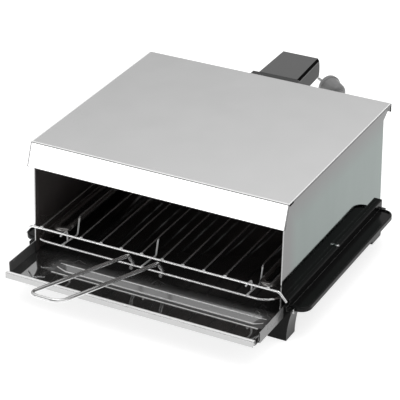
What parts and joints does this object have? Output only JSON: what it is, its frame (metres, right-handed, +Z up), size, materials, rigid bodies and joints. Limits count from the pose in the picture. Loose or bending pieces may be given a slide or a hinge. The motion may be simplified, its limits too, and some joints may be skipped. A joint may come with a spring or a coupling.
{
  "type": "electric party grill",
  "caption": "Open-fronted polished steel grill hood on black side frames, with a heating loop, a pull-out wire rack with a long handle, and a drip drawer below.",
  "frame": {"origin": "middle of the grill's base without its cord, on the table", "axes": "+Z up, the open front faces -Y, +X is to the right seen from the front"},
  "size_m": [0.419, 0.9293, 0.192],
  "materials": {
    "polished_steel": "polished sheet, mirror-like, with fine rolling marks",
    "drawer_steel": "polished sheet with a pressed basin, lightly worn",
    "chrome_wire": "bright chrome plated wire",
    "black_moulding": "glossy black heat-resistant moulding",
    "grey_moulding": "dark grey moulding, satin",
    "element_steel": "dull grey sheathed tube",
    "ceramic": "unglazed off-white ceramic",
    "screw_steel": "bright zinc plated",
    "black_cord": "matt black cable sheath",
    "plug_plastic": "grey moulded plug, satin",
    "plug_brass": "nickel plated brass pins"
  },
  "bodies": {
    "grill": {"hood_top": "polished_steel", "hood_side_right": "polished_steel", "hood_side_left": "polished_steel", "hood_back": "polished_steel", "side_frame_right": "black_moulding", "side_frame_left": "black_moulding", "frame_screws": "screw_steel", "rack_rail_right": "polished_steel", "rack_rail_left": "polished_steel", "heating_element": "element_steel", "element_bushes": "ceramic", "element_pins": "element_steel", "terminal_cover": "grey_moulding", "cover_screws": "screw_steel", "housing_shell": "grey_moulding", "housing_lid": "grey_moulding", "strain_relief": "black_cord", "cord_lead": "black_cord", "cord_coil": "black_cord", "cord_tail": "black_cord", "plug_body": "plug_plastic", "plug_pins": "plug_brass"},
    "drawer": {"drawer_tray": "drawer_steel"},
    "rack": {"rack_front_wire": "chrome_wire", "rack_lower_frame": "chrome_wire", "rack_rear_wire": "chrome_wire", "rack_rods": "chrome_wire", "rack_leg_rods": "chrome_wire", "rack_middle_leg": "chrome_wire", "rack_hooks": "chrome_wire"},
    "handle": {"rack_handle": "chrome_wire"}
  },
  "joints": [
    {"name": "drawer_slide", "type": "slide", "parent": "grill", "child": "drawer", "axis": [0, -1, 0], "range_m": [-0.057, 0.13]},
    {"name": "rack_slide", "type": "slide", "parent": "grill", "child": "rack", "axis": [0, -1, 0], "range_m": [0, 0.18]},
    {"name": "handle_hinge", "type": "hinge", "parent": "rack", "child": "handle", "pos_m": [0, -0.09646, 0.056], "axis": [1, 0, 0], "range_deg": [0, 22]}
  ]
}
